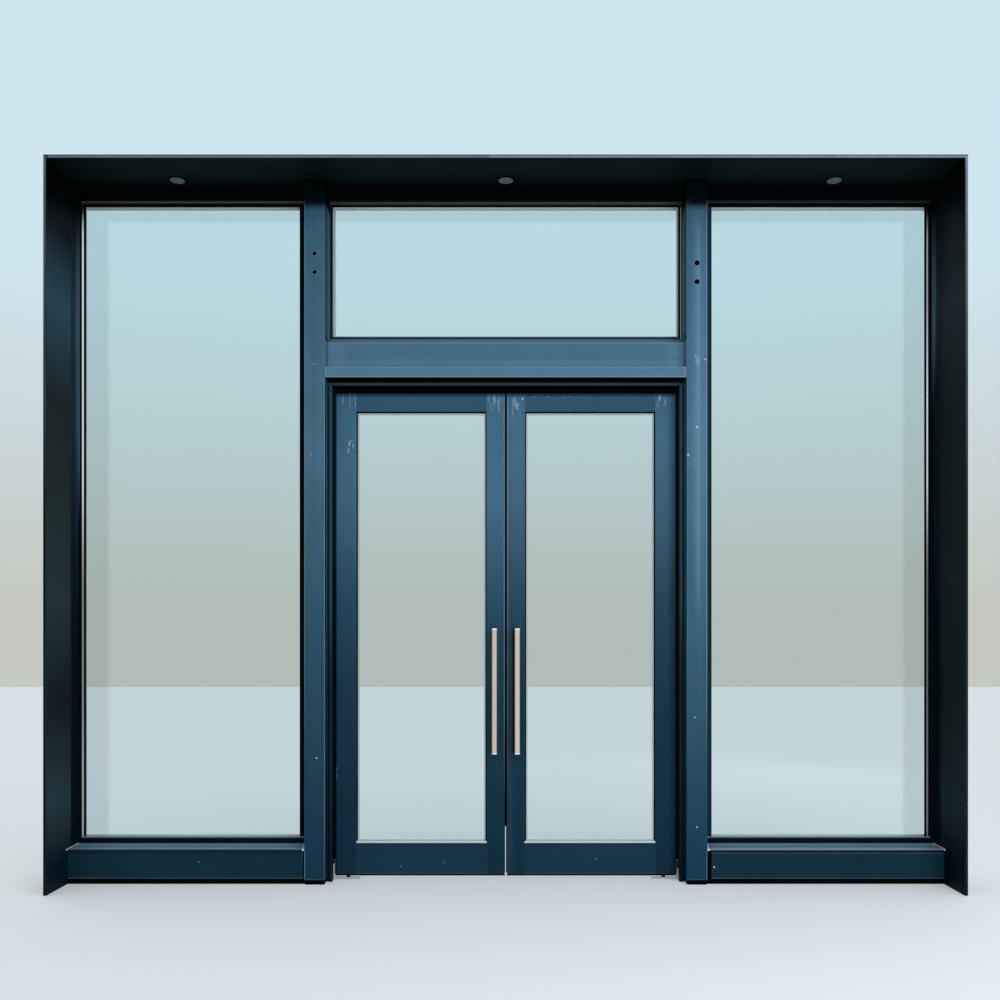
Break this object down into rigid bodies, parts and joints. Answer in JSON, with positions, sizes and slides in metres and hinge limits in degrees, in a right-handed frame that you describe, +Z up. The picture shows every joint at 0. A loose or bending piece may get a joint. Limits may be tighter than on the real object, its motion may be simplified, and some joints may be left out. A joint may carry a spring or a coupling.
{
  "type": "glass door",
  "caption": "Framed street entrance: paired centre-pivoted glass leaves with bar pulls, fanlight, side lights on plinths and a dark metal portal with downlights.",
  "frame": {"origin": "on the floor, midway across the portal and midway between its front and back", "axes": "+X to the right seen from the street, +Y into the building, +Z up"},
  "size_m": [4.61, 0.47, 3.74],
  "materials": {
    "entrance_metal": "satin anodised blue-grey",
    "frame_metal": "satin anodised dark",
    "dark_lining": "dark satin coat",
    "trim_metal": "satin grey",
    "plinth_metal": "satin dark blue-grey",
    "sill_metal": "satin anodised",
    "black_steel": "black",
    "downlight_metal": "dark satin",
    "lens": "frosted",
    "glass": "clear",
    "spacer_metal": "mill finish",
    "seal_rubber": "matt black",
    "satin_brass": "satin",
    "steel": "brushed"
  },
  "bodies": {
    "frame": {"lining_left": "dark_lining", "lining_right": "dark_lining", "lining_returns": "dark_lining", "soffit_panels": "dark_lining", "edge_trim": "trim_metal", "downlights": "downlight_metal", "downlight_lenses": "lens", "head_rail": "black_steel", "mullion_left": "entrance_metal", "mullion_right": "entrance_metal", "mullion_feet": "black_steel", "transom": "entrance_metal", "transom_fascias": "entrance_metal", "transom_lip": "entrance_metal", "closers": "steel", "door_jamb_left": "frame_metal", "door_jamb_right": "frame_metal", "door_head": "frame_metal", "head_brush": "seal_rubber", "plinth_cores": "black_steel", "plinth_fascia_left": "plinth_metal", "plinth_fascia_right": "plinth_metal", "sills": "sill_metal", "side_frame_left": "frame_metal", "side_frame_right": "frame_metal", "side_glass_left": "glass", "side_glass_right": "glass", "side_spacer_left": "spacer_metal", "side_spacer_right": "spacer_metal", "side_gaskets_left": "seal_rubber", "side_gaskets_right": "seal_rubber", "side_beads_left": "frame_metal", "side_beads_right": "frame_metal", "fan_frame": "frame_metal", "fan_glass": "glass", "fan_spacer": "spacer_metal", "fan_gaskets": "seal_rubber", "fan_beads": "frame_metal", "floor_pivots": "steel"},
    "leaf_left": {"hinge_stile_left": "entrance_metal", "meeting_stile_left": "entrance_metal", "top_rail_left": "entrance_metal", "bottom_rail_left": "entrance_metal", "leaf_glass_left": "glass", "leaf_spacer_left": "spacer_metal", "leaf_seals_left": "seal_rubber", "leaf_beads_left": "frame_metal", "pivots_left": "steel", "pull_handles_left": "satin_brass"},
    "leaf_right": {"hinge_stile_right": "entrance_metal", "meeting_stile_right": "entrance_metal", "top_rail_right": "entrance_metal", "bottom_rail_right": "entrance_metal", "leaf_glass_right": "glass", "leaf_spacer_right": "spacer_metal", "leaf_seals_right": "seal_rubber", "leaf_beads_right": "frame_metal", "pivots_right": "steel", "pull_handles_right": "satin_brass"}
  },
  "joints": [
    {"name": "leaf_left_swing", "type": "hinge", "parent": "frame", "child": "leaf_left", "pos_m": [-0.841, 0.125, 0.03], "axis": [0, 0, 1], "range_deg": [-90, 90], "stiffness_Nm_per_rad": 14},
    {"name": "leaf_right_swing", "type": "hinge", "parent": "frame", "child": "leaf_right", "pos_m": [0.841, 0.125, 0.03], "axis": [0, 0, 1], "range_deg": [-90, 90], "stiffness_Nm_per_rad": 14}
  ]
}
